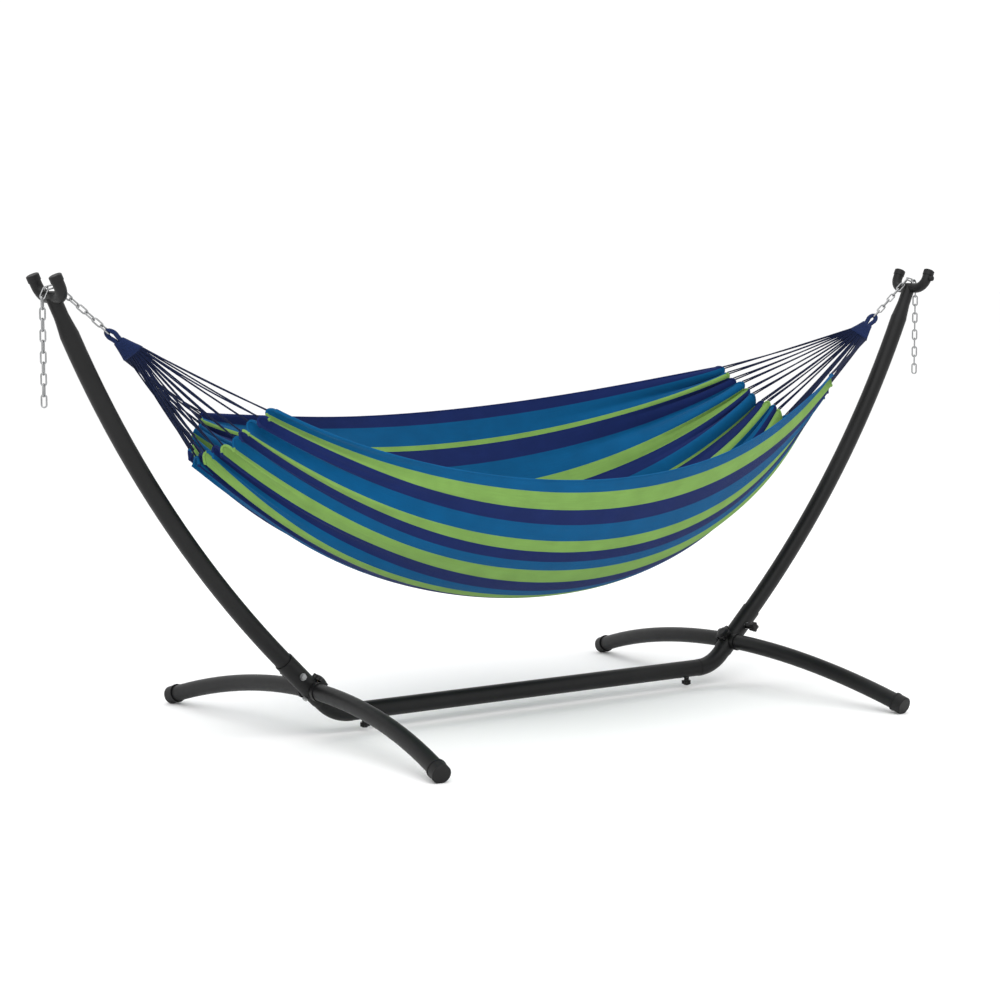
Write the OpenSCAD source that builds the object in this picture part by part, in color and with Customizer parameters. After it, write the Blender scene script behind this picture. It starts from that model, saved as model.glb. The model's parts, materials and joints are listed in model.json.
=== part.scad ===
// Hammock hung by chains from a two-arm tube stand, millimetres.
// +X runs along the hammock, +Y away from the viewer, +Z up; the feet rest on z = 0.

/* [Stand] */
// Outside diameter of the base bar and the arms
tube_diameter = 45; // [44:0.5:46]
// Wall of every tube
tube_wall = 1.6; // [1.4:0.1:2]
// Height of the base bar's axis over the floor
bar_height = 52.6; // [52.4:0.1:52.8]
// Half the length of the base bar
bar_half_length = 562; // [560:1:564]
// Slope of the elbow's upper leg, from horizontal
arm_slope = 45; // [45:1:45]
// Radius of the curved arm's centre line
arm_radius = 2750; // [2700:10:2800]
// Angle that the curved arm turns through
arm_turn = 20.45; // [19:0.05:21]

/* [Feet] */
// Outside diameter of the foot tubes
foot_diameter = 42; // [40:0.5:42]
// Radius of the arched foot's centre line
foot_radius = 1875; // [1850:5:1900]
// Half the angle of the foot's arch, to the middle of its end cap
foot_half_angle = 19.13; // [19:0.01:19.2]
// Tilt of the foot's arch away from vertical
foot_tilt = 26.3; // [26:0.1:26.6]

/* [Fork] */
// Outside diameter of the fork's bar
fork_diameter = 28; // [26:1:28]
// Half the distance between the prongs' axes
prong_half_gap = 58; // [50:1:60]

/* [Chain] */
// Diameter of the chain's wire
wire_diameter = 4; // [3.6:0.1:4]
// Distance from one link to the next
link_pitch = 24.5; // [24.4:0.1:24.6]
// Number of links from the fork down to the cloth's loop
chain_links = 6; // [4:1:8]
// Number of links that hang free outside each arm
tail_links = 10; // [4:1:12]

/* [Hammock] */
// Half the length of the cloth, from its middle to the middle of one hem
bed_half_length = 948; // [940:2:956]
// Height of the lowest point of the cloth
bed_low = 298; // [280:1:320]
// Thickness of the cloth as a solid
cloth_thickness = 3; // [2:0.5:4]
// Number of suspension strings at each end
string_count = 20; // [12:1:24]
// Diameter of one suspension string
string_diameter = 4; // [3:0.5:4]

/* [Shown part] */
// The node to show, or all

/* [Hidden] */
SMOOTH = 64;
FINE = 32;
EPS = 1;
FIT = 0.1;
bore_inner = tube_diameter / 2 - tube_wall;
insert_radius = bore_inner - FIT;
insert_start = bar_half_length - 77;
elbow_lower_radius = 23.1;
elbow_bend_tube = 23;
elbow_lower_bore = 18.8;
elbow_bend_bore = 18.75;
OVERLAP = 1;
NIP = 0.05;
elbow_upper_radius = 25;
elbow_wall = 2;
elbow_bend_radius = 110;
corner_x = 611.5;
bend_tangent = elbow_bend_radius * tan(arm_slope / 2);
bend_x = corner_x - bend_tangent;
leg_x = corner_x + bend_tangent * cos(arm_slope);
leg_z = bar_height + bend_tangent * sin(arm_slope);
leg_length = 158.8;
cone_start = 6;
cone_end = 16;
foot_along = 46.5;
arm_bolt_along = foot_along + 57;
arm_insert = 80;
elbow_end_x = leg_x + leg_length * cos(arm_slope);
elbow_end_z = leg_z + leg_length * sin(arm_slope);
foot_x = leg_x + foot_along * cos(arm_slope);
foot_z = leg_z + foot_along * sin(arm_slope);
arm_bolt_x = leg_x + arm_bolt_along * cos(arm_slope);
arm_bolt_z = leg_z + arm_bolt_along * sin(arm_slope);

head_slope = arm_slope + arm_turn;
shoulder_x = elbow_end_x + arm_radius * (sin(head_slope) - sin(arm_slope));
shoulder_z = elbow_end_z + arm_radius * (cos(arm_slope) - cos(head_slope));
neck_length = 107;
neck_radius = 17.5;
neck_cone = 45;
saddle_x = shoulder_x + neck_length * cos(head_slope);
saddle_z = shoulder_z + neck_length * sin(head_slope);
fork_radius = fork_diameter / 2;
fork_wall = 2;
fork_bend = 30;
fork_drop = fork_radius;
fork_axis_x = saddle_x - fork_drop * cos(head_slope);
fork_axis_z = saddle_z - fork_drop * sin(head_slope);
prong_top = 52;
fork_cap_height = 13;
fork_cap_radius = fork_radius + 1.6;
keeper_height = 30.4;

foot_r = foot_diameter / 2;
foot_hole_radius = foot_r + 0.4;
degrees_per_mm = 180 / (PI * foot_radius);
cap_length = 32;
cap_radius = 23.5;
cap_floor = 6;
cap_rim = 24.6;
cap_rim_length = 5;
collar_radius = 23.5;
collar_start = 25.6;
collar_end = 37;

bolt_radius = 4;
bolt_hole_radius = 4.25;
head_flat = 13;
head_height = 5.3;
washer_radius = 9;
washer_thickness = 1.6;
base_bolt_x = 523;
knob_clearance = 0.1;

foot_knob_low = 25.5;
foot_knob_height = 14.5;
foot_knob_lobe = 7;
foot_knob_reach = 16.5;
arm_knob_seat = 27;
arm_knob_neck = 23;
arm_knob_height = 14;
base_knob_z = 8.5;
base_knob_height = 13;
base_neck_top = bar_height - tube_diameter / 2 - 0.3;

wire_radius = wire_diameter / 2;
link_half_width = 6;
link_straight = (link_pitch + 0.3 + wire_diameter) / 2 - link_half_width;
chain_slope = 39;
link_lift = 23.5;
drape_half = 11.4;
tail_pin_half = 12;
drape_step = 2 * atan(drape_half / link_lift);
first_normal = 90 + chain_slope;
tail_normal = first_normal - 2 * drape_step;
tail_pin_x = fork_axis_x + link_lift * cos(tail_normal) + tail_pin_half * sin(tail_normal);
tail_pin_z = fork_axis_z + link_lift * sin(tail_normal) - tail_pin_half * cos(tail_normal);
chain_start_x = fork_axis_x + link_lift * cos(first_normal);
chain_start_z = fork_axis_z + link_lift * sin(first_normal);

loop_cord_radius = 3.5;
loop_radius = 11;
link_reach = link_straight + link_half_width;
loop_tip = chain_links * link_pitch + link_reach - wire_radius - loop_cord_radius - 0.15;
loop_leg = 26;
whip_start = loop_tip + loop_radius + loop_leg + 0.3;
whip_length = 44;
whip_neck_half = 15.5;
whip_neck_thick = 7;
whip_wide_half = 30;
whip_wide_thick = 9;

rim_near_y = -420;
rim_near_low = 638;
rim_near_rise = 202;
rim_near_in = 240;
rim_far_y = 440;
rim_far_low = 754;
rim_far_rise = 64;
rim_far_in = -197;
hem_near_back = 59;
hem_far_back = 113;
hem_skew = 47.5;
rim_near_tilt = 45;
rim_near_ease = 0.74;
rim_far_tilt = 34;
rim_far_lift = 6;
sag_tilt = -3;
sag_square = 323;
sag_cube = 18;
sag_fourth = 89;
wall_power = 1.8;
wall_ease = 0.27;
bulge = 0.34;
bulge_ease = 0.1;
bed_steps_long = 28;
bed_steps_wide = 20;
string_gap = 4;
string_layer = 2.6;

// ---------- frames ----------

// The right-hand end is built at +X; the left-hand end is the same one turned about the upright axis.
module at_end(side) {
    rotate([0, 0, side > 0 ? 0 : 180])
        children();
}

// Frame on the elbow's upper leg: local Z runs up the slope, starting where the bend stops.
module on_leg(along = 0) {
    translate([leg_x, 0, leg_z])
        rotate([0, 90 - arm_slope, 0])
            translate([0, 0, along])
                children();
}

// Frame on the arm's straight neck: local Z runs up the neck, with zero at the fork's saddle.
module on_neck(along = 0) {
    translate([saddle_x, 0, saddle_z])
        rotate([0, 90 - head_slope, 0])
            translate([0, 0, along])
                children();
}

// Frame of the foot's arch: its circle lies in the local XY plane, with the apex on +X.
module in_foot_arch() {
    translate([foot_x, 0, foot_z])
        rotate([0, -90 - foot_tilt, 0])
            translate([-foot_radius, 0, 0])
                children();
}

// Frame of the foot bolt: local Z points up and inward, square to the elbow's upper leg.
module on_foot_bolt(along = 0) {
    translate([foot_x, 0, foot_z])
        rotate([0, -arm_slope, 0])
            translate([0, 0, along])
                children();
}

// Frame of the arm bolt: local Z points toward the viewer.
module on_arm_bolt(along = 0) {
    translate([arm_bolt_x, 0, arm_bolt_z])
        rotate([90, 0, 0])
            translate([0, 0, along])
                children();
}

// Frame of the chain: local Y runs down the chain toward the cloth.
module on_chain(along = 0) {
    translate([chain_start_x, 0, chain_start_z])
        rotate([0, 180 - chain_slope, 0])
            rotate([0, 0, -90])
                translate([0, along, 0])
                    children();
}

module at_base_stud(height) {
    translate([base_bolt_x, 0, height])
        children();
}

// ---------- base bar, elbows and arms ----------

module base_bar() {
    color("#222324")
    difference() {
        rotate([0, 90, 0])
            translate([-bar_height, 0, -bar_half_length])
                cylinder(h = 2 * bar_half_length, r = tube_diameter / 2, $fn = SMOOTH);
        rotate([0, 90, 0])
            translate([-bar_height, 0, -bar_half_length - EPS])
                cylinder(h = 2 * bar_half_length + 2 * EPS, r = bore_inner, $fn = SMOOTH);
        for (side = [-1, 1])
            translate([side * base_bolt_x, 0, 0])
                cylinder(h = bar_height, r = bolt_hole_radius, $fn = FINE);
    }
}

module elbow_bend(radius) {
    translate([bend_x, 0, bar_height + elbow_bend_radius])
        rotate([90, 0, 0])
            rotate_extrude(angle = arm_slope, start = -90, $fn = 180)
                translate([elbow_bend_radius, 0])
                    circle(r = radius, $fn = SMOOTH);
}

module elbow_outside() {
    translate([insert_start, 0, bar_height])
        rotate([0, 90, 0])
            cylinder(h = bend_x - insert_start - OVERLAP, r = insert_radius, $fn = SMOOTH);
    translate([bar_half_length + 0.2, 0, bar_height])
        rotate([0, 90, 0])
            cylinder(h = bend_x - bar_half_length - 0.2 + OVERLAP, r = elbow_lower_radius, $fn = SMOOTH);
    elbow_bend(elbow_bend_tube);
    on_leg(-OVERLAP)
        cylinder(h = cone_start + OVERLAP, r = elbow_lower_radius, $fn = SMOOTH);
    on_leg(cone_start)
        cylinder(h = cone_end - cone_start, r1 = elbow_lower_radius, r2 = elbow_upper_radius, $fn = SMOOTH);
    on_leg(cone_end)
        cylinder(h = leg_length - cone_end, r = elbow_upper_radius, $fn = SMOOTH);
}

module elbow_inside() {
    translate([insert_start - EPS, 0, bar_height])
        rotate([0, 90, 0])
            cylinder(h = bend_x - insert_start + EPS + OVERLAP, r = elbow_lower_bore, $fn = SMOOTH);
    elbow_bend(elbow_bend_bore);
    on_leg(-OVERLAP)
        cylinder(h = cone_end + OVERLAP + NIP, r = elbow_lower_bore, $fn = SMOOTH);
    on_leg(cone_end)
        cylinder(h = leg_length - cone_end + EPS, r = elbow_upper_radius - elbow_wall, $fn = SMOOTH);
}

module elbow(side) {
    color("#222324")
    at_end(side)
    difference() {
        union() {
            elbow_outside();
        }
        union() {
            elbow_inside();
        }
        translate([foot_x, 0, foot_z])
            rotate([90, 0, 0])
                translate([0, 0, -40])
                    cylinder(h = 80, r = foot_hole_radius, $fn = SMOOTH);
        on_foot_bolt(-40)
            cylinder(h = 80, r = bolt_hole_radius, $fn = FINE);
        on_arm_bolt(-40)
            cylinder(h = 80, r = bolt_hole_radius, $fn = FINE);
        at_base_stud(0)
            cylinder(h = bar_height, r = bolt_hole_radius, $fn = FINE);
    }
}

module arm_arc(radius) {
    translate([elbow_end_x - arm_radius * sin(arm_slope), 0, elbow_end_z + arm_radius * cos(arm_slope)])
        rotate([90, 0, 0])
            rotate_extrude(angle = arm_turn, start = arm_slope - 90, $fn = 720)
                translate([arm_radius, 0])
                    circle(r = radius, $fn = SMOOTH);
}

// The arm's outside, with the small steps inward at its joins.
module arm_outside() {
    on_leg(leg_length - arm_insert)
        cylinder(h = arm_insert + OVERLAP, r = tube_diameter / 2 - NIP, $fn = SMOOTH);
    arm_arc(tube_diameter / 2);
    on_neck(-neck_length - 2 * OVERLAP)
        cylinder(h = neck_cone + 2 * OVERLAP, r1 = tube_diameter / 2 - 2 * NIP, r2 = neck_radius, $fn = SMOOTH);
    on_neck(neck_cone - neck_length)
        cylinder(h = neck_length - neck_cone - fork_drop, r = neck_radius, $fn = SMOOTH);
}

module arm_inside() {
    on_leg(leg_length - arm_insert - EPS)
        cylinder(h = arm_insert + EPS + OVERLAP, r = bore_inner + NIP, $fn = SMOOTH);
    arm_arc(bore_inner);
    on_neck(-neck_length - 2 * OVERLAP)
        cylinder(h = neck_cone + 2 * OVERLAP, r1 = bore_inner - 2 * NIP, r2 = neck_radius - tube_wall, $fn = SMOOTH);
    on_neck(neck_cone - neck_length)
        cylinder(h = neck_length - neck_cone - fork_drop + EPS, r = neck_radius - tube_wall, $fn = SMOOTH);
}

module arm(side) {
    color("#222324")
    at_end(side)
    difference() {
        union() {
            arm_outside();
        }
        union() {
            arm_inside();
        }
        on_neck(-fork_drop)
            rotate([90, 0, 0])
                translate([0, 0, -40])
                    cylinder(h = 80, r = fork_radius + 0.15, $fn = SMOOTH);
        on_arm_bolt(-40)
            cylinder(h = 80, r = bolt_hole_radius, $fn = FINE);
    }
}

// ---------- forks ----------

module fork_run(radius, spare) {
    cross = prong_half_gap - fork_bend;
    on_neck(-fork_drop)
        rotate([90, 0, 0])
            translate([0, 0, -cross])
                cylinder(h = 2 * cross, r = radius, $fn = SMOOTH);
    for (hand = [-1, 1]) {
        on_neck(-fork_drop)
            translate([0, hand * cross, fork_bend])
                rotate([0, 90, 0])
                    rotate_extrude(angle = 90, start = hand > 0 ? 0 : -90, $fn = 96)
                        translate([fork_bend, 0])
                            circle(r = radius, $fn = SMOOTH);
        on_neck(-fork_drop + fork_bend)
            translate([0, hand * prong_half_gap, 0])
                cylinder(h = prong_top - fork_bend + spare, r = radius, $fn = SMOOTH);
    }
}

module fork(side) {
    color("#222324")
    at_end(side)
    difference() {
        union() {
            fork_run(fork_radius, 0);
        }
        union() {
            fork_run(fork_radius - fork_wall, EPS);
        }
        if (side > 0)
            on_neck(-fork_drop + keeper_height)
                translate([0, -prong_half_gap, 0])
                    rotate([90, 0, 0])
                        cylinder(h = fork_diameter, r = bolt_hole_radius, $fn = FINE);
    }
}

module fork_caps(side) {
    color("#151617")
    at_end(side)
    for (hand = [-1, 1])
        on_neck(-fork_drop + prong_top)
            translate([0, hand * prong_half_gap, 0])
                difference() {
                    union() {
                        translate([0, 0, -fork_cap_height])
                            cylinder(h = fork_cap_height + 1.5, r = fork_cap_radius, $fn = SMOOTH);
                        translate([0, 0, 1.5])
                            cylinder(h = 1.7, r1 = fork_cap_radius, r2 = fork_cap_radius - 2.5, $fn = SMOOTH);
                    }
                    translate([0, 0, -fork_cap_height - EPS])
                        cylinder(h = fork_cap_height + EPS + 0.2, r = fork_radius + 0.05, $fn = SMOOTH);
                }
}

module keeper_peg_right() {
    color("#151617")
    on_neck(-fork_drop + keeper_height)
        translate([0, -prong_half_gap, 0])
            rotate([90, 0, 0]) {
                translate([0, 0, fork_radius - 5])
                    cylinder(h = 5.3, r = bolt_radius, $fn = FINE);
                translate([0, 0, fork_radius + 0.3])
                    cylinder(h = 7, r = 8, $fn = FINE);
                translate([0, 0, fork_radius + 7.3])
                    cylinder(h = 2.5, r1 = 8, r2 = 5, $fn = FINE);
            }
}

// ---------- feet ----------

// A length of the foot's arch between two distances from its apex.
module foot_arc(radius, from, to) {
    in_foot_arch()
        rotate_extrude(angle = (to - from) * degrees_per_mm, start = from * degrees_per_mm, $fn = 720)
            translate([foot_radius, 0])
                circle(r = radius, $fn = SMOOTH);
}

foot_reach = foot_half_angle / degrees_per_mm + cap_length / 2 - cap_floor;

module foot(side) {
    color("#222324")
    at_end(side)
    difference() {
        foot_arc(foot_r, -foot_reach, foot_reach);
        foot_arc(foot_r - tube_wall, -foot_reach - 5, foot_reach + 5);
        on_foot_bolt(-40)
            cylinder(h = 80, r = bolt_hole_radius, $fn = FINE);
    }
}

module foot_collars(side) {
    color("#151617")
    at_end(side)
    for (hand = [-1, 1]) {
        near = hand > 0 ? collar_start : -collar_end;
        difference() {
            foot_arc(collar_radius, near, near + collar_end - collar_start);
            foot_arc(foot_r + 0.05, near - 5, near + collar_end - collar_start + 5);
        }
    }
}

module foot_cap(side, hand) {
    color("#151617")
    at_end(side)
    difference() {
        in_foot_arch()
            rotate([0, 0, hand * foot_half_angle])
                translate([foot_radius, 0, 0])
                    rotate([-90 * hand, 0, 0])
                        translate([0, 0, -cap_length / 2])
                            union() {
                                cylinder(h = cap_rim_length, r = cap_rim, $fn = SMOOTH);
                                translate([0, 0, cap_rim_length])
                                    cylinder(h = cap_length - cap_rim_length - 2, r = cap_radius, $fn = SMOOTH);
                                translate([0, 0, cap_length - 2])
                                    cylinder(h = 2, r1 = cap_radius, r2 = cap_radius - 2, $fn = SMOOTH);
                            }
        in_foot_arch()
            rotate([0, 0, hand * foot_half_angle])
                translate([foot_radius, 0, 0])
                    rotate([-90 * hand, 0, 0])
                        translate([0, 0, -cap_length / 2 - 5])
                            cylinder(h = cap_length - cap_floor + 5.3, r = foot_r + 0.2, $fn = SMOOTH);
        translate([foot_x - 200, -1000, -20])
            cube([400, 2000, 20]);
    }
}

// ---------- bolts, nuts and washers ----------

module hex(height, flat) {
    cylinder(h = height, r = flat / 2 / cos(30), $fn = 6);
}

module weld_nut(side) {
    color("#8d9095")
    at_end(side)
    at_base_stud(bar_height - 17)
    difference() {
        hex(6.5, head_flat);
        translate([0, 0, -EPS])
            cylinder(h = 6.5 + 2 * EPS, r = bolt_radius + knob_clearance, $fn = FINE);
    }
}

module foot_bolt(side) {
    color("#aeb2b6")
    at_end(side) {
        on_foot_bolt(-elbow_upper_radius - head_height - 0.2)
            hex(head_height, head_flat);
        on_foot_bolt(-elbow_upper_radius - 0.2)
            cylinder(h = elbow_upper_radius + 0.2 + 37, r = bolt_radius, $fn = FINE);
    }
}

module arm_bolt(side) {
    color("#aeb2b6")
    at_end(side) {
        on_arm_bolt(-elbow_upper_radius - washer_thickness - head_height - 0.2)
            hex(head_height, head_flat);
        on_arm_bolt(-elbow_upper_radius - washer_thickness - 0.2)
            cylinder(h = elbow_upper_radius + washer_thickness + 0.2 + 60, r = bolt_radius, $fn = FINE);
    }
}

module arm_washers(side) {
    color("#9ea2a7")
    at_end(side)
    for (seat = [-elbow_upper_radius - washer_thickness - 0.1, elbow_upper_radius + 0.1])
        on_arm_bolt(seat)
            difference() {
                cylinder(h = washer_thickness, r = washer_radius, $fn = SMOOTH);
                translate([0, 0, -EPS])
                    cylinder(h = washer_thickness + 2 * EPS, r = bolt_radius + FIT, $fn = FINE);
            }
}

// ---------- hand knobs ----------

// Five-lobed grip: a hub with lobes round it and a low dome on top.
module star(height, hub, lobe, reach, dome) {
    cylinder(h = height, r = hub, $fn = SMOOTH);
    for (turn = [0:72:288])
        rotate([0, 0, turn])
            translate([reach, 0, 0])
                cylinder(h = height - 1.5, r = lobe, $fn = FINE);
    translate([0, 0, height])
        cylinder(h = dome, r1 = hub, r2 = hub * 0.62, $fn = SMOOTH);
}

module knob_base(side) {
    color("#161718")
    at_end(side)
    at_base_stud(base_knob_z)
    difference() {
        union() {
            translate([0, 0, base_knob_height])
                rotate([180, 0, 0])
                    star(base_knob_height - 2, 9, 3.6, 9.4, 2);
            translate([0, 0, base_knob_height - EPS])
                cylinder(h = base_neck_top - base_knob_z - base_knob_height + EPS, r = 7, $fn = FINE);
        }
        translate([0, 0, 4])
            cylinder(h = 30, r = bolt_radius, $fn = FINE);
    }
}

module base_stud(side) {
    color("#aeb2b6")
    at_end(side)
    at_base_stud(base_knob_z + 4.05)
    cylinder(h = 34, r = bolt_radius - 0.02, $fn = FINE);
}

module knob_foot(side) {
    color("#161718")
    at_end(side)
    on_foot_bolt(foot_knob_low)
    difference() {
        star(foot_knob_height - 3, 17.5, foot_knob_lobe, foot_knob_reach, 3);
        translate([0, 0, -EPS])
            cylinder(h = 12.5 + EPS, r = 7.05, $fn = FINE);
    }
}

module foot_insert(side) {
    color("#b9953f")
    at_end(side)
    on_foot_bolt(foot_knob_low)
    difference() {
        cylinder(h = 12, r = 7, $fn = FINE);
        translate([0, 0, -EPS])
            cylinder(h = 12 + 2 * EPS, r = bolt_radius + knob_clearance, $fn = FINE);
    }
}

module knob_arm(side) {
    color("#161718")
    at_end(side)
    on_arm_bolt(arm_knob_seat)
    difference() {
        union() {
            cylinder(h = arm_knob_neck + EPS, r = 8, $fn = FINE);
            translate([0, 0, arm_knob_neck])
                star(arm_knob_height - 2, 10, 4.2, 9.8, 2);
        }
        translate([0, 0, -EPS])
            cylinder(h = 34 + EPS, r = 6.05, $fn = FINE);
    }
}

module arm_insert(side) {
    color("#b9953f")
    at_end(side)
    on_arm_bolt(arm_knob_seat)
    difference() {
        cylinder(h = 33.8, r = 6, $fn = FINE);
        translate([0, 0, -EPS])
            cylinder(h = 36, r = bolt_radius + knob_clearance, $fn = FINE);
    }
}

// ---------- chains ----------

// One oval link, long in local Y and flat in local XY.
module link() {
    for (end = [-1, 1]) {
        translate([0, end * link_straight, 0])
            rotate_extrude(angle = 180, start = end > 0 ? 0 : 180, $fn = 48)
                translate([link_half_width, 0])
                    circle(r = wire_radius, $fn = 24);
        translate([end * link_half_width, -link_straight, 0])
            rotate([-90, 0, 0])
                cylinder(h = 2 * link_straight, r = wire_radius, $fn = 24);
    }
}

// A run of links down the chain, each turned a quarter from the one before.
module link_run(first, last) {
    for (i = [first:last])
        on_chain(i * link_pitch)
            rotate([0, i % 2 == 0 ? 45 : -45, 0])
                link();
}

// One link lying over the fork's bar, at an angle round it.
module draped_link(normal, twist) {
    translate([fork_axis_x, 0, fork_axis_z])
        rotate([0, -normal, 0])
            translate([link_lift, 0, 0])
                rotate([90, 0, 0])
                    rotate([0, twist, 0])
                        link();
}

module saddle_links(side) {
    color("#c4c7ca")
    at_end(side) {
        draped_link(first_normal, -45);
        draped_link(first_normal - drape_step, 45);
        draped_link(tail_normal, -45);
    }
}

module hanging_link(i) {
    translate([tail_pin_x, 0, tail_pin_z - (i + 0.5) * link_pitch])
        rotate([90, 0, 0])
            rotate([0, i % 2 == 0 ? 45 : -45, 0])
                link();
}

module tail_link(side) {
    color("#c4c7ca")
    at_end(side)
    hanging_link(0);
}

module chain_tail(side) {
    color("#c4c7ca")
    at_end(side)
    for (i = [1:tail_links - 1])
        hanging_link(i);
}

module chain(side) {
    color("#c4c7ca")
    at_end(side)
    link_run(1, chain_links);
}

// ---------- loops and whippings ----------

module loop(side) {
    color("#1e2a45")
    at_end(side)
    on_chain(loop_tip + loop_radius)
    rotate([0, -45, 0]) {
        rotate_extrude(angle = 180, start = 180, $fn = 64)
            translate([loop_radius, 0])
                circle(r = loop_cord_radius, $fn = 24);
        for (hand = [-1, 1])
            translate([hand * loop_radius, 0, 0])
                rotate([-90, 0, 0])
                    cylinder(h = loop_leg, r = loop_cord_radius, $fn = 24);
    }
}

// Flat, widening block of wrapped cord between the loop and the strings.
module whipping(side) {
    color("#1e2a45")
    at_end(side)
    on_chain(whip_start)
    rotate([0, -45, 0])
    hull() {
        rotate([-90, 0, 0])
            scale([1, whip_neck_thick / whip_neck_half, 1])
                cylinder(h = 1, r = whip_neck_half, $fn = FINE);
        translate([0, whip_length - 1, 0])
            rotate([-90, 0, 0])
                scale([1, whip_wide_thick / whip_wide_half, 1])
                    cylinder(h = 1, r = whip_wide_half, $fn = FINE);
    }
}

// ---------- cloth ----------

// across runs from -1 at the near rim to 1 at the far rim, along from -1 to 1 between the hems.
function hem_back(across) = (across < 0 ? hem_near_back : hem_far_back) * pow(abs(across), 1.5);
function rim_y(across, along) =
    across < 0 ? rim_near_y + rim_near_in * along * along : rim_far_y + rim_far_in * along * along;
function rim_z(across, along) =
    across < 0
        ? rim_near_low + rim_near_rise * along * along + rim_near_tilt * along * (1 - rim_near_ease * pow(along, 4))
        : rim_far_low + (rim_far_rise + rim_far_lift) * along * along + rim_far_tilt * along;
function keel_z(along) =
    bed_low + sag_tilt * along + sag_square * pow(along, 2) + sag_cube * pow(along, 3) + sag_fourth * pow(along, 4);
function bed_point(across, along) = [
    along * (bed_half_length - hem_back(across)) - hem_skew * (1 - abs(across)) * along * along,
    rim_y(across, along) * abs(across) * (1 + (bulge - bulge_ease * along * along) * (1 - abs(across))),
    keel_z(along) + (rim_z(across, along) - keel_z(along)) * pow(abs(across), wall_power - wall_ease * along * along)
];
function bed_normal(across, along) =
    let (step = 0.01)
    let (p = bed_point(min(1, across + step), along) - bed_point(max(-1, across - step), along))
    let (q = bed_point(across, min(1, along + step)) - bed_point(across, max(-1, along - step)))
    let (n = cross(q, p))
    n / norm(n);
function bed_grid(offset) = [
    for (i = [0:bed_steps_long], j = [0:bed_steps_wide])
        let (along = -1 + 2 * i / bed_steps_long)
        let (across = -1 + 2 * j / bed_steps_wide)
        bed_point(across, along) + offset * bed_normal(across, along)
];

module bed() {
    wide = bed_steps_wide + 1;
    sheet = wide * (bed_steps_long + 1);
    upper = [
        for (i = [0:bed_steps_long - 1], j = [0:bed_steps_wide - 1], half = [0, 1])
            let (a = i * wide + j)
            half == 0 ? [a, a + wide, a + wide + 1] : [a, a + wide + 1, a + 1]
    ];
    lower = [for (f = upper) [f[0] + sheet, f[2] + sheet, f[1] + sheet]];
    edge = concat(
        [for (j = [0:bed_steps_wide - 1]) [j, j + 1]],
        [for (i = [0:bed_steps_long - 1]) [i * wide + bed_steps_wide, (i + 1) * wide + bed_steps_wide]],
        [for (j = [0:bed_steps_wide - 1]) [sheet - 1 - j, sheet - 2 - j]],
        [for (i = [0:bed_steps_long - 1]) [sheet - wide - i * wide, sheet - 2 * wide - i * wide]]
    );
    rim = [
        for (e = edge, half = [0, 1])
            half == 0 ? [e[0], e[1], e[1] + sheet] : [e[0], e[1] + sheet, e[0] + sheet]
    ];
    color("#3f7f6a")
    polyhedron(
        points = concat(bed_grid(cloth_thickness / 2), bed_grid(-cloth_thickness / 2)),
        faces = concat(upper, lower, rim)
    );
}

// ---------- suspension strings ----------

// A point on the chain's line: off across the whipping's flat, lift square to that flat.
function chain_point(side, along, off, lift) =
    let (up = off * cos(45) + lift * sin(45))
    [
        side * (chain_start_x - along * cos(chain_slope) + up * sin(chain_slope)),
        side * (lift * cos(45) - off * sin(45)),
        chain_start_z - along * sin(chain_slope) - up * cos(chain_slope)
    ];

// A straight string from the whipping's wide edge to the hem, its ends just clear of both.
module string(side, k) {
    spread = -1 + 2 * (k + 0.5) / string_count;
    hem = bed_point(spread, side);
    layer = (k % 2 == 0 ? 1 : -1) * string_layer;
    top = chain_point(side, whip_start + whip_length + 1, -0.92 * side * whip_wide_half * spread, layer);
    run = hem - top;
    length = norm(run) - string_gap;
    tilt = acos(run[2] / norm(run));
    turn = atan2(run[1], run[0]);
    translate(top)
        rotate([0, tilt, turn])
            cylinder(h = length, r = string_diameter / 2, $fn = 8);
}

module clews(side) {
    color("#1e2a45")
    for (k = [0:string_count - 1])
        string(side, k);
}

// ---------- the nodes ----------

base_bar();
elbow(-1);  // elbow_left
elbow(1);  // elbow_right
arm(-1);  // arm_left
arm(1);  // arm_right
fork(-1);  // fork_left
fork(1);  // fork_right
fork_caps(-1);  // fork_caps_left
fork_caps(1);  // fork_caps_right
keeper_peg_right();
foot(-1);  // foot_left
foot(1);  // foot_right
foot_collars(-1);  // foot_collars_left
foot_collars(1);  // foot_collars_right
foot_cap(-1, 1);  // foot_cap_left_front
foot_cap(-1, -1);  // foot_cap_left_back
foot_cap(1, -1);  // foot_cap_right_front
foot_cap(1, 1);  // foot_cap_right_back
weld_nut(-1);  // weld_nut_left
weld_nut(1);  // weld_nut_right
foot_bolt(-1);  // foot_bolt_left
foot_bolt(1);  // foot_bolt_right
arm_bolt(-1);  // arm_bolt_left
arm_bolt(1);  // arm_bolt_right
arm_washers(-1);  // arm_washers_left
arm_washers(1);  // arm_washers_right
knob_base(-1);  // knob_base_left
knob_base(1);  // knob_base_right
base_stud(-1);  // base_stud_left
base_stud(1);  // base_stud_right
knob_foot(-1);  // knob_foot_left
knob_foot(1);  // knob_foot_right
foot_insert(-1);  // foot_insert_left
foot_insert(1);  // foot_insert_right
knob_arm(-1);  // knob_arm_left
knob_arm(1);  // knob_arm_right
arm_insert(-1);  // arm_insert_left
arm_insert(1);  // arm_insert_right
saddle_links(-1);  // saddle_links_left
saddle_links(1);  // saddle_links_right
tail_link(-1);  // tail_link_left
tail_link(1);  // tail_link_right
chain_tail(-1);  // chain_tail_left
chain_tail(1);  // chain_tail_right
chain(-1);  // chain_left
chain(1);  // chain_right
loop(-1);  // loop_left
loop(1);  // loop_right
whipping(-1);  // whipping_left
whipping(1);  // whipping_right
clews(-1);  // clews_left
clews(1);  // clews_right
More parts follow.
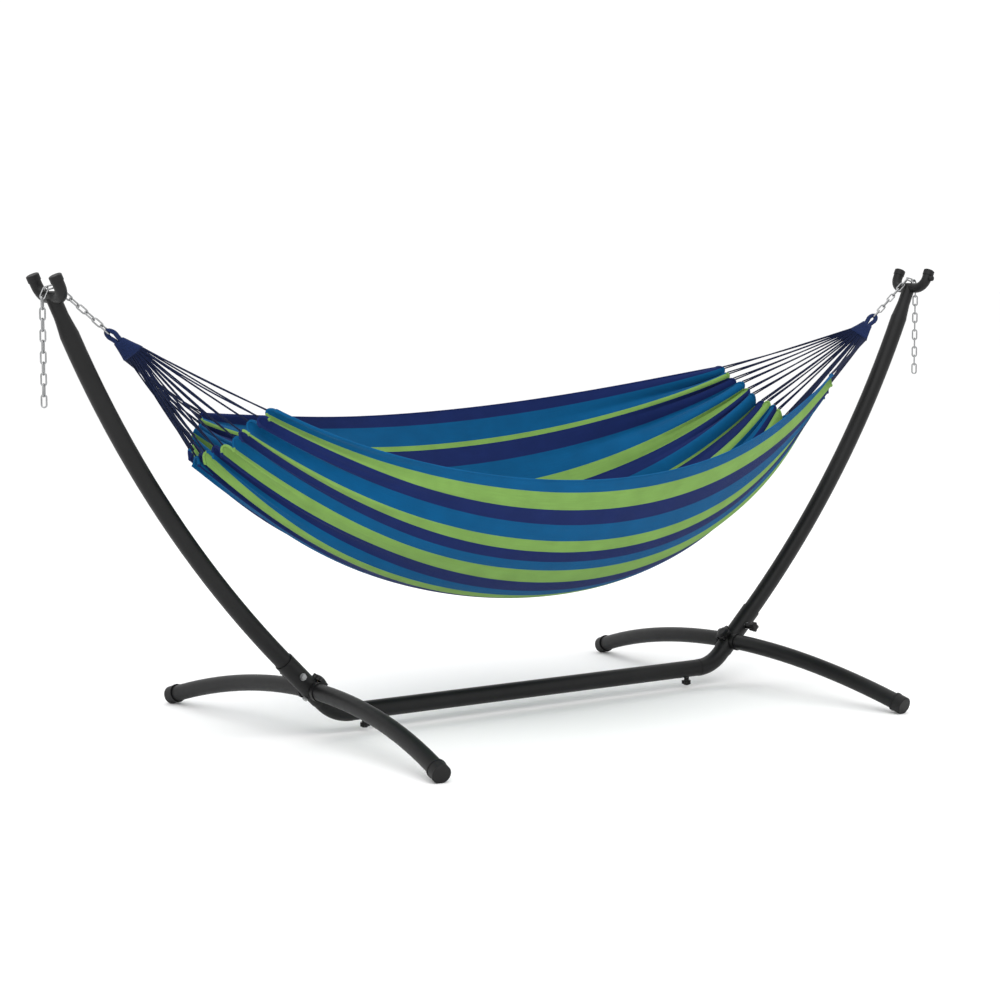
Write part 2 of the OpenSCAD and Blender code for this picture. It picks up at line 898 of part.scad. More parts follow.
bed();
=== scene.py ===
"""Hammock on stand: looks, light and camera, in metres."""

import json
import math
import random

import bpy
import numpy as np
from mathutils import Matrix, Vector


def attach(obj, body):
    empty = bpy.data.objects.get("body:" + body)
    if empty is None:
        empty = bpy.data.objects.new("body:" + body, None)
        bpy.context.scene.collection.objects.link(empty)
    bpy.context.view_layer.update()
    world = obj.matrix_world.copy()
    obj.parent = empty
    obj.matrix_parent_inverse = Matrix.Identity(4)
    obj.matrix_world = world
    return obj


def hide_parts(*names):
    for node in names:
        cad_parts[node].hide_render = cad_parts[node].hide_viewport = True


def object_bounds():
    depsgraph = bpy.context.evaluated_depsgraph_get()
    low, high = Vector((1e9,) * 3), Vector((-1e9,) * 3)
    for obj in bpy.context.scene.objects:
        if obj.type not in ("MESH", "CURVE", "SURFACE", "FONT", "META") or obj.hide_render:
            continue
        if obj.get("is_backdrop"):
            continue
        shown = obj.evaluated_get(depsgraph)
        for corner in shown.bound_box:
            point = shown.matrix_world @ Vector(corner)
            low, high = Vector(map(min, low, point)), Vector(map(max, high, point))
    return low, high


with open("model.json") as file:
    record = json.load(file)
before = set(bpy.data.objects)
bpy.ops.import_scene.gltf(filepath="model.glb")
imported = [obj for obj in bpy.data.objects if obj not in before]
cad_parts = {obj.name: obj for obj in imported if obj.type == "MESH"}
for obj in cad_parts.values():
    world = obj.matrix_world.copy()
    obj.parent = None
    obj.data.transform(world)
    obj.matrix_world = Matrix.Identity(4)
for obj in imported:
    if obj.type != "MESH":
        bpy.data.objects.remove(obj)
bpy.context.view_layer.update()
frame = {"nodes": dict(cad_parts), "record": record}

# ---------- camera ----------

CAMERA_AT = Vector((-3.848, -5.149, 1.179))
CAMERA_AZIMUTH = math.radians(-36.0)
CAMERA_DROP = math.radians(5.62)
LENS = 89.77

camera_data = bpy.data.cameras.new("camera")
camera_data.lens = LENS
camera_data.sensor_width = 36.0
camera_data.clip_end = 200.0
camera = bpy.data.objects.new("camera", camera_data)
bpy.context.scene.collection.objects.link(camera)
camera.location = CAMERA_AT
look = Vector((
    -math.sin(CAMERA_AZIMUTH) * math.cos(CAMERA_DROP),
    math.cos(CAMERA_AZIMUTH) * math.cos(CAMERA_DROP),
    -math.sin(CAMERA_DROP),
))
camera.rotation_euler = look.to_track_quat("-Z", "Y").to_euler()
bpy.context.scene.camera = camera

# ---------- measures shared with the CAD ----------

MM = 0.001
CHAIN_SLOPE = math.radians(39)
LINK_PITCH = 24.5
CHAIN_START = np.array([1336.7118, 0.0, 1101.9164])
CHAIN_DIR = np.array([-math.cos(CHAIN_SLOPE), 0.0, -math.sin(CHAIN_SLOPE)])
LOOP_TIP = 6 * LINK_PITCH + 8.75
WHIP_START = 193.05
WHIP_LENGTH = 44.0
WHIP_HALF = 30.0
STRINGS = 20

BED_HALF = 948.0
HEM_SKEW = 47.5
BED_LOW = 298.0
HEM_BACK = (59.0, 113.0)  # how far each rim's corner lies back from the hem's middle, near and far
KEEL = (-3.0, 323.0, 18.0, 89.0)  # rise of the keel with along, its square, cube and fourth power
WALL_POWER, WALL_EASE = 1.8, 0.27
BULGE, BULGE_EASE = 0.34, 0.1


def end_frame(side):
    """Origin on the chain's line, and the axes along it, across the loop and square to the loop."""
    down = CHAIN_DIR.copy()
    up_normal = np.array([math.sin(CHAIN_SLOPE), 0.0, -math.cos(CHAIN_SLOPE)])
    near = np.array([0.0, -1.0, 0.0])
    broad = (near + up_normal) / math.sqrt(2)
    thick = (up_normal - near) / math.sqrt(2)
    turn = np.array([side, side, 1.0])
    return CHAIN_START * turn, down * turn, broad * turn, thick * turn


def chain_point(side, along, off=0.0, lift=0.0):
    origin, down, broad, thick = end_frame(side)
    return origin + down * along + broad * off + thick * lift


# ---------- the cloth's shape ----------

def bed_base(across, along):
    """Points of the hung cloth, millimetres; across and along run from -1 to 1."""
    a = np.abs(across)
    near = across < 0
    back = np.where(near, *HEM_BACK) * a ** 1.5
    rim_y = np.where(near, -420.0 + 240.0 * along ** 2, 440.0 - 197.0 * along ** 2)
    near_z = 638.0 + 202.0 * along ** 2 + 45.0 * along * (1 - 0.74 * along ** 4)
    far_z = 754.0 + 70.0 * along ** 2 + 34.0 * along
    rim_z = np.where(near, near_z, far_z)
    keel = BED_LOW + KEEL[0] * along + KEEL[1] * along ** 2 + KEEL[2] * along ** 3 + KEEL[3] * along ** 4
    x = along * (BED_HALF - back) - HEM_SKEW * (1 - a) * along ** 2
    y = rim_y * a * (1 + (BULGE - BULGE_EASE * along ** 2) * (1 - a))
    z = keel + (rim_z - keel) * a ** (WALL_POWER - WALL_EASE * along ** 2)
    return np.stack([x, y, z], axis=-1)


WIDE_CELLS = 320
LONG_CELLS = 220
FINE_ACROSS = np.linspace(-1, 1, 601)


def even_across(along_values):
    """For each row, the across values that are evenly spaced by arc length."""
    rows = []
    share = np.linspace(0, 1, WIDE_CELLS + 1)
    for s in along_values:
        line = bed_base(FINE_ACROSS, np.full_like(FINE_ACROSS, s))
        steps = np.linalg.norm(np.diff(line, axis=0), axis=1)
        run = np.concatenate([[0], np.cumsum(steps)])
        rows.append(np.interp(share, run / run[-1], FINE_ACROSS))
    return share, np.array(rows)


def pleat_phase(t, end):
    """Phase of the gathers across the hem, one full turn per string, a little uneven."""
    wander = 0.55 * np.sin(2 * np.pi * 3.1 * t + 1.3 * end) + 0.4 * np.sin(2 * np.pi * 7.3 * t + 2.1 * end)
    return 2 * np.pi * (STRINGS * t - 0.5) + wander


def pleat_peaks(end):
    """Where across the hem each gather stands proud, one per string."""
    t = np.linspace(0, 1, 4001)
    phase = pleat_phase(t, end) / (2 * np.pi)
    return np.interp(np.arange(STRINGS), phase, t)


def roll(phase, crease=0.03):
    """A row of round rolls with sharp creases between them, from -1 to about 1."""
    return 2 * np.sqrt(np.cos(phase / 2) ** 2 + crease) - 1


def build_cloth():
    w = np.linspace(-1, 1, LONG_CELLS + 1)
    along = np.sin(w * math.pi / 2) * 0.6 + w * 0.4
    share, across = even_across(along)
    s = np.repeat(along[:, None], WIDE_CELLS + 1, axis=1)
    t = np.repeat(share[None, :], LONG_CELLS + 1, axis=0)
    base = bed_base(across, s)
    du = np.gradient(base, axis=1)
    dv = np.gradient(base, axis=0)
    normal = np.cross(dv, du)
    normal /= np.linalg.norm(normal, axis=2, keepdims=True)
    outward = dv / np.linalg.norm(dv, axis=2, keepdims=True)
    sideways = du / np.linalg.norm(du, axis=2, keepdims=True)
    move = np.zeros_like(t)
    slide = np.zeros_like(t)
    shift = np.zeros_like(t)
    for end in (-1, 1):
        far = (1 - end * s) * BED_HALF
        phase = pleat_phase(t, end)
        smooth_side = 1 - 0.62 * (end > 0) / (1 + np.exp((t - 0.42) * 30))
        uneven = 1 + 0.3 * np.sin(2 * np.pi * 5.3 * t + 2.0 * end)
        tight = 9.0 * np.exp(-far / 105) * (0.5 + 0.5 * smooth_side)
        medium = 6.0 * np.exp(-((far - 60) / 210) ** 2) * smooth_side
        broad = 12.0 * np.exp(-((far - 250) / 260) ** 2) * smooth_side
        folds = roll(0.5 * phase + 0.9 * np.sin(2 * np.pi * 2.3 * t + end) + far / 700)
        waves = np.sin(2 * np.pi * 5.2 * t + 1.1 * end + 0.8 * np.sin(far / 230 + 6 * t))
        move += roll(phase) * (tight + 0.6 * medium) * uneven
        move += folds * (0.7 * medium + 0.5 * broad)
        move += waves * 0.45 * broad
        shift += np.sin(phase) * 4.6 * np.exp(-far / 150) * smooth_side
        slide += end * 8.5 * (np.cos(phase) - 0.35) * np.exp(-far / 26)
        slide += end * 5.0 * np.sin(2 * np.pi * 4.7 * t + 2.6 * end) * np.exp(-far / 120)
    rng = np.random.default_rng(7)
    for _ in range(9):
        ft, fs = rng.uniform(1.5, 6.5), rng.uniform(0.4, 1.5)
        p, q = rng.uniform(0, 6.28, 2)
        move += 1.3 * np.sin(2 * np.pi * ft * t + p + 1.7 * np.sin(fs * 2 * s + q)) * (0.4 + 0.6 * s ** 2)
    edge = np.clip(np.minimum(t, 1 - t) / 0.012, 0, 1)
    points = base + normal * move[..., None] + outward * slide[..., None] + sideways * (shift * edge)[..., None]
    return points, share, along


def grid_mesh(name, points, uv):
    rows, cols = points.shape[:2]
    mesh = bpy.data.meshes.new(name)
    verts = points.reshape(-1, 3) * MM
    index = np.arange(rows * cols).reshape(rows, cols)
    quads = np.stack([index[:-1, :-1], index[1:, :-1], index[1:, 1:], index[:-1, 1:]], axis=-1).reshape(-1, 4)
    mesh.from_pydata([tuple(v) for v in verts.tolist()], [], [tuple(q) for q in quads.tolist()])
    layer = mesh.uv_layers.new(name="weave")
    flat = uv.reshape(-1, 2)
    loops = np.empty(len(mesh.loops), dtype=np.int32)
    mesh.loops.foreach_get("vertex_index", loops)
    layer.data.foreach_set("uv", flat[loops].astype(np.float32).ravel())
    mesh.polygons.foreach_set("use_smooth", [True] * len(mesh.polygons))
    obj = bpy.data.objects.new(name, mesh)
    bpy.context.scene.collection.objects.link(obj)
    return obj


def tube_along(name, path, radius, sides=10, uv=None, closed_ends=True, squash=None, ridge=None):
    """Round tube along a path of points in millimetres; squash is (normal, factor) per ring."""
    path = np.asarray(path, dtype=float)
    n = len(path)
    tangent = np.gradient(path, axis=0)
    tangent /= np.linalg.norm(tangent, axis=1, keepdims=True)
    side = np.zeros_like(path)
    ref = squash[0] if squash else np.array([0.0, 0.0, 1.0])
    for i in range(n):
        v = ref - tangent[i] * np.dot(ref, tangent[i])
        if np.linalg.norm(v) < 1e-4:
            v = np.array([0.0, 1.0, 0.0])
        side[i] = v / np.linalg.norm(v)
        if not squash:
            ref = side[i]
    other = np.cross(tangent, side)
    radius = np.broadcast_to(np.asarray(radius, dtype=float), (n,))
    verts, faces, uvs = [], [], []
    for i in range(n):
        for j in range(sides):
            ang = 2 * math.pi * j / sides
            r = radius[i] * (1 + (ridge(i, ang) if ridge else 0.0))
            flat = squash[1] if squash else 1.0
            p = path[i] + side[i] * math.cos(ang) * r * flat + other[i] * math.sin(ang) * r
            verts.append(tuple(p * MM))
            uvs.append(uv[i] if uv is not None else (j / sides, i / n))
    for i in range(n - 1):
        for j in range(sides):
            k = (j + 1) % sides
            faces.append((i * sides + j, i * sides + k, (i + 1) * sides + k, (i + 1) * sides + j))
    if closed_ends:
        faces.append(tuple(reversed(range(sides))))
        faces.append(tuple((n - 1) * sides + j for j in range(sides)))
    mesh = bpy.data.meshes.new(name)
    mesh.from_pydata(verts, [], faces)
    layer = mesh.uv_layers.new(name="weave")
    for loop in mesh.loops:
        layer.data[loop.index].uv = uvs[loop.vertex_index]
    for polygon in mesh.polygons:
        polygon.use_smooth = True
    obj = bpy.data.objects.new(name, mesh)
    bpy.context.scene.collection.objects.link(obj)
    return obj


cloth_points, cloth_share, cloth_along = build_cloth()


def hem_point(end, t):
    """The point on the gathered hem at a share of the cloth's width."""
    row = cloth_points[-1 if end > 0 else 0]
    return np.array([np.interp(t, cloth_share, row[:, k]) for k in range(3)])


# ---------- the suspension strings, made first after the camera ----------

STRING_RADIUS = 2.0
STRING_POINTS = 15
PAIR_GAP = 3.6
strings = []
rng = random.Random(5)


def string_curve(name, top, low, sway):
    """A round string, nearly straight, as a poly curve from top to low in millimetres."""
    curve = bpy.data.curves.new(name, "CURVE")
    curve.dimensions = "3D"
    curve.bevel_depth = 1.0
    curve.bevel_resolution = 3
    curve.use_fill_caps = True
    spline = curve.splines.new("POLY")
    spline.points.add(STRING_POINTS - 1)
    for i in range(STRING_POINTS):
        f = i / (STRING_POINTS - 1)
        p = top + (low - top) * f + sway * math.sin(math.pi * f)
        spline.points[i].co = (*(p * MM), 1.0)
        spline.points[i].radius = STRING_RADIUS * MM
    obj = bpy.data.objects.new(name, curve)
    bpy.context.scene.collection.objects.link(obj)
    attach(obj, "hammock")
    strings.append(obj)
    return obj


for side, label in ((-1, "left"), (1, "right")):
    peaks = pleat_peaks(side)
    for k in range(STRINGS):
        spread = -1 + 2 * (k + 0.5) / STRINGS
        layer = 2.6 if k % 2 == 0 else -2.6
        pair = []
        for half in (0, 1):
            lean = spread + (0.55 if half else -0.35) / STRINGS
            top = chain_point(
                side, WHIP_START + WHIP_LENGTH - 3, -0.9 * side * WHIP_HALF * lean, layer * (1 - 1.6 * half)
            )
            low = hem_point(side, peaks[k] + (0.0022 if half else 0.0))
            low = low + np.array([0.0, 0.0, PAIR_GAP]) * half
            sway = np.array([rng.uniform(-1, 1), rng.uniform(-1, 1), -1.0]) * (1.6 + 3.0 * half)
            tail = "_b" if half else ""
            pair.append((string_curve(f"string_{label}_{k + 1:02d}{tail}", top, low, sway), top, low))
        (first, top, low), (second, _, _) = pair
        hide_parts(f"clews_{label}")

# ---------- materials ----------


def node_material(name):
    mat = bpy.data.materials.new(name)
    mat.use_nodes = True
    tree = mat.node_tree
    shader = tree.nodes["Principled BSDF"]
    return mat, tree, shader


def noise(tree, vector, scale, detail=3.0, rough=0.5):
    node = tree.nodes.new("ShaderNodeTexNoise")
    node.inputs["Scale"].default_value = scale
    node.inputs["Detail"].default_value = detail
    node.inputs["Roughness"].default_value = rough
    tree.links.new(vector, node.inputs["Vector"])
    return node


def ramp(tree, factor, stops, interpolation="LINEAR"):
    node = tree.nodes.new("ShaderNodeValToRGB")
    node.color_ramp.interpolation = interpolation
    elements = node.color_ramp.elements
    while len(elements) > 1:
        elements.remove(elements[-1])
    elements[0].position = stops[0][0]
    elements[0].color = (*stops[0][1], 1)
    for position, colour in stops[1:]:
        item = elements.new(position)
        item.color = (*colour, 1)
    tree.links.new(factor, node.inputs["Fac"])
    return node


def remap(tree, value, low, high):
    node = tree.nodes.new("ShaderNodeMapRange")
    node.inputs["To Min"].default_value = low
    node.inputs["To Max"].default_value = high
    tree.links.new(value, node.inputs["Value"])
    return node.outputs["Result"]


def bump(tree, shader, height, distance, strength=1.0, after=None):
    node = tree.nodes.new("ShaderNodeBump")
    node.inputs["Distance"].default_value = distance
    node.inputs["Strength"].default_value = strength
    tree.links.new(height, node.inputs["Height"])
    if after is not None:
        tree.links.new(after, node.inputs["Normal"])
    tree.links.new(node.outputs["Normal"], shader.inputs["Normal"])
    return node.outputs["Normal"]


def object_coords(tree):
    return tree.nodes.new("ShaderNodeTexCoord").outputs["Object"]


def powder_coat():
    mat, tree, shader = node_material("powder_coat_black")
    where = object_coords(tree)
    broad = noise(tree, where, 9.0, 4)
    tone = ramp(tree, broad.outputs["Fac"], [(0.3, (0.0035, 0.0036, 0.0038)), (0.7, (0.0062, 0.0064, 0.0067))])
    tree.links.new(tone.outputs["Color"], shader.inputs["Base Color"])
    grain = noise(tree, where, 1500.0, 2)
    tree.links.new(remap(tree, noise(tree, where, 60.0, 5).outputs["Fac"], 0.40, 0.52), shader.inputs["Roughness"])
    shader.inputs["Specular IOR Level"].default_value = 0.24
    first = bump(tree, shader, grain.outputs["Fac"], 0.00012, 0.35)
    bump(tree, shader, noise(tree, where, 260.0, 2).outputs["Fac"], 0.00018, 0.3, first)
    return mat


def moulded_plastic(name, colour, low=0.42, high=0.6):
    mat, tree, shader = node_material(name)
    where = object_coords(tree)
    lighter = tuple(c * 1.7 for c in colour)
    tone = ramp(tree, noise(tree, where, 35.0, 4).outputs["Fac"], [(0.3, colour), (0.75, lighter)])
    tree.links.new(tone.outputs["Color"], shader.inputs["Base Color"])
    tree.links.new(remap(tree, noise(tree, where, 120.0, 4).outputs["Fac"], low, high), shader.inputs["Roughness"])
    shader.inputs["Specular IOR Level"].default_value = 0.26
    bump(tree, shader, noise(tree, where, 1900.0, 2).outputs["Fac"], 0.0001, 0.4)
    return mat


def zinc(name, colour, low, high):
    mat, tree, shader = node_material(name)
    where = object_coords(tree)
    darker = tuple(c * 0.72 for c in colour)
    tone = ramp(tree, noise(tree, where, 90.0, 5).outputs["Fac"], [(0.25, darker), (0.7, colour)])
    tree.links.new(tone.outputs["Color"], shader.inputs["Base Color"])
    shader.inputs["Metallic"].default_value = 1.0
    tree.links.new(remap(tree, noise(tree, where, 400.0, 4).outputs["Fac"], low, high), shader.inputs["Roughness"])
    bump(tree, shader, noise(tree, where, 700.0, 3).outputs["Fac"], 0.00012, 0.35)
    return mat


NAVY = (0.0072, 0.0178, 0.094)
TEAL = (0.0008, 0.078, 0.205)
LIME = (0.18, 0.33, 0.078)
STRIPES = (
    ("T", 36), ("L", 60), ("N", 60), ("T", 62), ("L", 42), ("N", 44), ("T", 50), ("L", 72), ("N", 58),
    ("T", 50), ("L", 56), ("N", 62), ("T", 60), ("L", 52), ("N", 60), ("T", 56), ("L", 50), ("N", 66),
    ("L", 14), ("T", 50), ("N", 56), ("L", 52), ("T", 84), ("N", 62), ("L", 14), ("T", 68), ("N", 44),
)


def stripe_stops():
    colours = {"N": NAVY, "T": TEAL, "L": LIME}
    total = sum(width for _, width in STRIPES)
    stops, run = [], 0.0
    for key, width in STRIPES:
        stops.append((run / total, colours[key]))
        run += width
    return stops


def wave_height(tree, value, count):
    """A height that rises and falls count times as value goes from 0 to 1."""
    scaled = tree.nodes.new("ShaderNodeMath")
    scaled.operation = "MULTIPLY"
    scaled.inputs[1].default_value = count * 2 * math.pi
    tree.links.new(value, scaled.inputs[0])
    sine = tree.nodes.new("ShaderNodeMath")
    sine.operation = "SINE"
    tree.links.new(scaled.outputs[0], sine.inputs[0])
    return sine.outputs[0]


def math_node(tree, operation, a, b):
    node = tree.nodes.new("ShaderNodeMath")
    node.operation = operation
    for socket, value in zip(node.inputs, (a, b)):
        if isinstance(value, (int, float)):
            socket.default_value = value
        else:
            tree.links.new(value, socket)
    return node.outputs[0]


def mix_colour(tree, kind, factor, a, b):
    node = tree.nodes.new("ShaderNodeMix")
    node.data_type = "RGBA"
    node.blend_type = kind
    if isinstance(factor, (int, float)):
        node.inputs["Factor"].default_value = factor
    else:
        tree.links.new(factor, node.inputs["Factor"])
    for index, value in ((6, a), (7, b)):
        if isinstance(value, tuple):
            node.inputs[index].default_value = (*value, 1)
        else:
            tree.links.new(value, node.inputs[index])
    return node.outputs[2]


def striped_cloth():
    mat, tree, shader = node_material("striped_cotton")
    uv = tree.nodes.new("ShaderNodeUVMap")
    uv.uv_map = "weave"
    split = tree.nodes.new("ShaderNodeSeparateXYZ")
    tree.links.new(uv.outputs["UV"], split.inputs["Vector"])
    where = object_coords(tree)
    stretch = tree.nodes.new("ShaderNodeMapping")
    stretch.inputs["Scale"].default_value = (900.0, 26.0, 1.0)
    tree.links.new(uv.outputs["UV"], stretch.inputs["Vector"])
    yarn = noise(tree, stretch.outputs["Vector"], 1.0, 3)
    shift = math_node(tree, "MULTIPLY", math_node(tree, "SUBTRACT", yarn.outputs["Fac"], 0.5), 0.0006)
    place = math_node(tree, "ADD", split.outputs["X"], shift)
    stripes = ramp(tree, place, stripe_stops(), "CONSTANT")
    slub = ramp(tree, yarn.outputs["Fac"], [(0.25, (0.80, 0.80, 0.80)), (0.75, (1.12, 1.12, 1.12))])
    colour = mix_colour(tree, "MULTIPLY", 0.55, stripes.outputs["Color"], slub.outputs["Color"])
    cloud_stops = [(0.3, (0.90, 0.90, 0.90)), (0.7, (1.08, 1.08, 1.08))]
    cloud = ramp(tree, noise(tree, where, 16.0, 5).outputs["Fac"], cloud_stops)
    colour = mix_colour(tree, "MULTIPLY", 0.8, colour, cloud.outputs["Color"])
    tree.links.new(colour, shader.inputs["Base Color"])
    warp = wave_height(tree, split.outputs["X"], 940)
    weft = wave_height(tree, split.outputs["Y"], 1300)
    weave = math_node(tree, "MULTIPLY", warp, weft)
    first = bump(tree, shader, weave, 0.00025, 0.5)
    second = bump(tree, shader, yarn.outputs["Fac"], 0.0004, 0.35, first)
    bump(tree, shader, noise(tree, where, 55.0, 4).outputs["Fac"], 0.0012, 0.35, second)
    tree.links.new(remap(tree, yarn.outputs["Fac"], 0.78, 0.95), shader.inputs["Roughness"])
    shader.inputs["Specular IOR Level"].default_value = 0.1
    shader.inputs["Sheen Weight"].default_value = 0.03
    shader.inputs["Sheen Roughness"].default_value = 0.5
    return mat


CORD_TONES = ((0.28, (0.0025, 0.0045, 0.016)), (0.62, (0.006, 0.013, 0.048)), (0.8, (0.010, 0.022, 0.080)))


def cord_fibre(name, tint):
    mat, tree, shader = node_material(name)
    where = object_coords(tree)
    tone = ramp(
        tree, noise(tree, where, 520.0, 4).outputs["Fac"],
        [(place, tuple(tint * c for c in colour)) for place, colour in CORD_TONES],
    )
    tree.links.new(tone.outputs["Color"], shader.inputs["Base Color"])
    wave = tree.nodes.new("ShaderNodeTexWave")
    wave.wave_type = "BANDS"
    wave.bands_direction = "DIAGONAL"
    wave.inputs["Scale"].default_value = 190.0
    wave.inputs["Distortion"].default_value = 1.5
    tree.links.new(where, wave.inputs["Vector"])
    first = bump(tree, shader, wave.outputs["Fac"], 0.0006, 0.6)
    bump(tree, shader, noise(tree, where, 1400.0, 3).outputs["Fac"], 0.0003, 0.4, first)
    tree.links.new(remap(tree, noise(tree, where, 200.0).outputs["Fac"], 0.7, 0.9), shader.inputs["Roughness"])
    shader.inputs["Specular IOR Level"].default_value = 0.14
    shader.inputs["Sheen Weight"].default_value = 0.05
    shader.inputs["Sheen Roughness"].default_value = 0.4
    return mat


def floor_paint():
    mat, tree, shader = node_material("studio_floor")
    where = object_coords(tree)
    stops = [(0.0, (0.962, 0.962, 0.962)), (1.0, (0.974, 0.974, 0.974))]
    tone = ramp(tree, noise(tree, where, 0.4, 3).outputs["Fac"], stops)
    tree.links.new(tone.outputs["Color"], shader.inputs["Base Color"])
    shader.inputs["Roughness"].default_value = 0.9
    shader.inputs["Specular IOR Level"].default_value = 0.1
    return mat


MAT_TUBE = powder_coat()
MAT_CAP = moulded_plastic("cap_plastic_black", (0.0034, 0.0034, 0.0037))
MAT_GRIP = moulded_plastic("grip_plastic_black", (0.003, 0.003, 0.0033), 0.32, 0.5)
MAT_BOLT = zinc("zinc_bolt", (0.36, 0.365, 0.37), 0.25, 0.42)
MAT_CHAIN = zinc("zinc_chain", (0.37, 0.375, 0.38), 0.2, 0.36)
MAT_BRASS = zinc("brass_turned", (0.68, 0.48, 0.2), 0.25, 0.4)
MAT_CLOTH = striped_cloth()
MAT_CORD = cord_fibre("navy_string", 1.0)
MAT_WRAP = cord_fibre("navy_wrap", 1.9)

SLOT_MATERIALS = {
    "powder_coat": MAT_TUBE,
    "black_plastic": MAT_CAP,
    "knob_plastic": MAT_GRIP,
    "zinc_hardware": MAT_BOLT,
    "chain_steel": MAT_CHAIN,
    "brass_insert": MAT_BRASS,
    "navy_cord": MAT_CORD,
    "striped_cloth": MAT_CLOTH,
}


def paint(obj, mat):
    obj.data.materials.clear()
    obj.data.materials.append(mat)


for part in frame["record"]["subparts"]:
    node = frame["nodes"].get(part["node"])
    mat = SLOT_MATERIALS[part["material_slot"]]
    if node is None:
        continue
    if len(node.material_slots) == 0:
        node.data.materials.append(mat)
    for slot in node.material_slots:
        slot.material = mat

for obj in strings:
    paint(obj, MAT_CORD)

# ---------- the cloth ----------

# Where the first stripe edges lie across the cloth: in the flat weave, and as gathered at the left hem.
EDGES_FLAT = (0.0, 0.025, 0.0667, 0.1083, 0.1514, 0.1806, 0.2111, 0.2458, 0.2958, 1.0)
EDGES_GATHERED = (0.0, 0.035, 0.051, 0.104, 0.143, 0.163, 0.206, 0.242, 0.2958, 1.0)


def stripe_place(share, along):
    """The weave's across position at a share of the width; the left gathers hide part of some stripes."""
    hidden = np.clip((-along - 0.35) / 0.6, 0, 1)
    hidden = hidden * hidden * (3 - 2 * hidden)
    return share + hidden * (np.interp(share, EDGES_GATHERED, EDGES_FLAT) - share)


grid_share, grid_along = np.meshgrid(cloth_share, cloth_along)
uv = np.stack([stripe_place(grid_share, grid_along), (grid_along + 1) / 2], axis=-1)
cloth = grid_mesh("cloth", cloth_points, uv)
thicken = cloth.modifiers.new("thickness", "SOLIDIFY")
thicken.thickness = 1.6 * MM
thicken.offset = 0.0
paint(cloth, MAT_CLOTH)
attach(cloth, "hammock")
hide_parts("bed")

for side, label in ((-1, "left"), (1, "right")):
    row = cloth_points[-1 if side > 0 else 0]
    hem_uv = [(float(u), 0.999 if side > 0 else 0.001) for u in stripe_place(cloth_share, float(side))]
    hem = tube_along(f"hem_{label}", row, 3.4, 10, hem_uv)
    paint(hem, MAT_CLOTH)
    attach(hem, "hammock")
for edge, label in ((0, "near"), (-1, "far")):
    col = cloth_points[:, edge]
    rim_uv = [(0.001 if edge == 0 else 0.999, float((s + 1) / 2)) for s in cloth_along]
    rim = tube_along(f"selvedge_{label}", col, 1.9, 8, rim_uv)
    paint(rim, MAT_CLOTH)
    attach(rim, "hammock")

# ---------- loops and woven heads ----------

LOOP_SPREAD = 9.2
LOOP_LEG = 30.0
LOOP_RADIUS = 5.8


def leg_gap(f):
    """Half the gap between the loop's legs, from the woven head at 0 to the eye at 1."""
    return LOOP_SPREAD * (0.80 + 0.2 * f - 0.26 * math.sin(math.pi * f) * (1 - 0.4 * f))


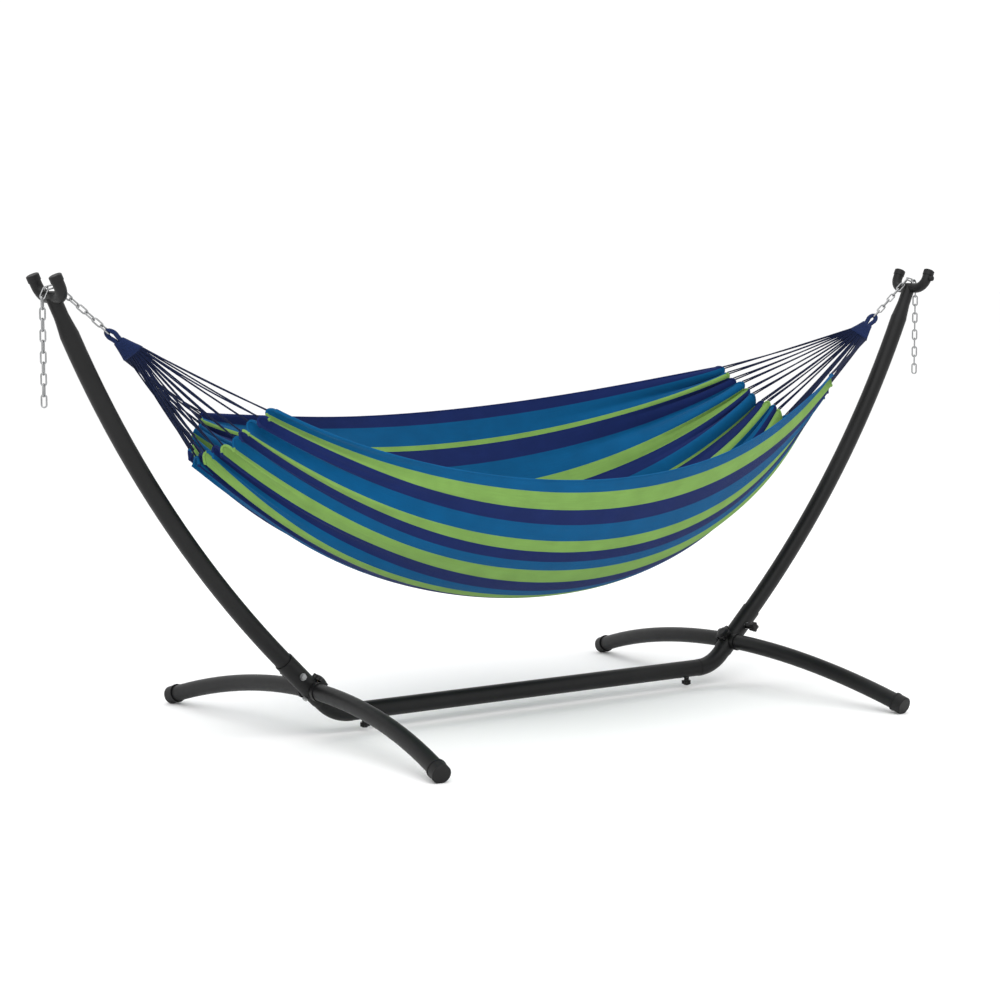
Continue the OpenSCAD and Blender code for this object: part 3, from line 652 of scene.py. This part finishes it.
for side, label in ((-1, "left"), (1, "right")):
    points = []
    tip = LOOP_TIP - 2.0
    for i in range(14):
        f = i / 13
        points.append(chain_point(side, WHIP_START + 8 - f * LOOP_LEG, leg_gap(f)))
    centre = WHIP_START + 8 - LOOP_LEG
    reach = centre - tip
    for i in range(1, 25):
        a = math.pi * i / 24
        points.append(chain_point(side, centre - reach * math.sin(a), LOOP_SPREAD * math.cos(a)))
    for i in range(1, 14):
        f = i / 13
        points.append(chain_point(side, centre + f * LOOP_LEG, -leg_gap(1 - f)))
    points = np.array(points)
    steps = np.concatenate([[0], np.cumsum(np.linalg.norm(np.diff(points, axis=0), axis=1))])
    dense = np.linspace(0, steps[-1], 170)
    points = np.stack([np.interp(dense, steps, points[:, k]) for k in range(3)], axis=1)

    def wrap(i, ang, dense=dense):
        return 0.085 * math.sin(2 * math.pi * dense[i] / 2.9 + ang)

    _, _, _, thick = end_frame(side)
    loop = tube_along(f"loop_cord_{label}", points, LOOP_RADIUS, 14, None, True, (thick, 0.66), wrap)
    paint(loop, MAT_WRAP)
    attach(loop, "hammock")
    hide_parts(f"loop_{label}")

    rows = 120
    sides = 200
    verts, faces = [], []
    for i in range(rows):
        f = i / (rows - 1)
        half = 15.0 + (WHIP_HALF - 15.0) * f ** 1.15
        deep = 6.6 + 1.6 * f
        fade = min(1.0, f * 6, (1 - f) * 10)
        for j in range(sides):
            ang = 2 * math.pi * j / sides
            off = half * math.copysign(abs(math.cos(ang)) ** 0.8, math.cos(ang))
            lift = deep * math.copysign(abs(math.sin(ang)) ** 0.8, math.sin(ang))
            warp = math.cos(off / half * math.pi * 11)
            weft = math.cos(f * math.pi * 26 + (math.pi if round(off / half * 11) % 2 else 0.0))
            grow = 1 + (0.07 * warp + 0.06 * weft) * fade
            taper = 0.72 + 0.28 * fade
            reach_down = WHIP_START - 2 + (WHIP_LENGTH + 3) * f
            point = chain_point(side, reach_down, off * (0.97 + 0.03 * grow), lift * grow * taper)
            verts.append(tuple(point * MM))
    for i in range(rows - 1):
        for j in range(sides):
            k = (j + 1) % sides
            faces.append((i * sides + j, (i + 1) * sides + j, (i + 1) * sides + k, i * sides + k))
    faces.append(tuple(range(sides)))
    faces.append(tuple(reversed([(rows - 1) * sides + j for j in range(sides)])))
    mesh = bpy.data.meshes.new(f"woven_head_{label}")
    mesh.from_pydata(verts, [], faces)
    for polygon in mesh.polygons:
        polygon.use_smooth = True
    head = bpy.data.objects.new(mesh.name, mesh)
    bpy.context.scene.collection.objects.link(head)
    paint(head, MAT_WRAP)
    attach(head, "hammock")
    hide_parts(f"whipping_{label}")

# ---------- floor and light ----------

floor_mesh = bpy.data.meshes.new("floor")
floor_mesh.from_pydata([(-60, -60, 0), (60, -60, 0), (60, 60, 0), (-60, 60, 0)], [], [(0, 1, 2, 3)])
floor = bpy.data.objects.new("floor", floor_mesh)
bpy.context.scene.collection.objects.link(floor)
paint(floor, floor_paint())
floor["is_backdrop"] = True

world = bpy.data.worlds.new("studio")
bpy.context.scene.world = world
world.use_nodes = True
background = world.node_tree.nodes["Background"]
background.inputs["Color"].default_value = (1.0, 1.0, 1.0, 1.0)
background.inputs["Strength"].default_value = 1.06


def softbox(name, at, aim, size, watts):
    data = bpy.data.lights.new(name, "AREA")
    data.shape = "RECTANGLE"
    data.size, data.size_y = size
    data.energy = watts
    obj = bpy.data.objects.new(name, data)
    bpy.context.scene.collection.objects.link(obj)
    obj.location = at
    obj.rotation_euler = (Vector(aim) - Vector(at)).to_track_quat("-Z", "Y").to_euler()
    return obj


softbox("key", (-2.2, -3.2, 5.0), (0.0, 0.0, 0.5), (7.0, 6.0), 200.0)
softbox("top", (1.5, 1.5, 5.5), (0.0, 0.0, 0.4), (5.0, 4.0), 60.0)

bpy.context.scene.view_settings.view_transform = "Standard"
bpy.context.scene.view_settings.look = "None"

# ---------- sizes ----------

low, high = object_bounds()
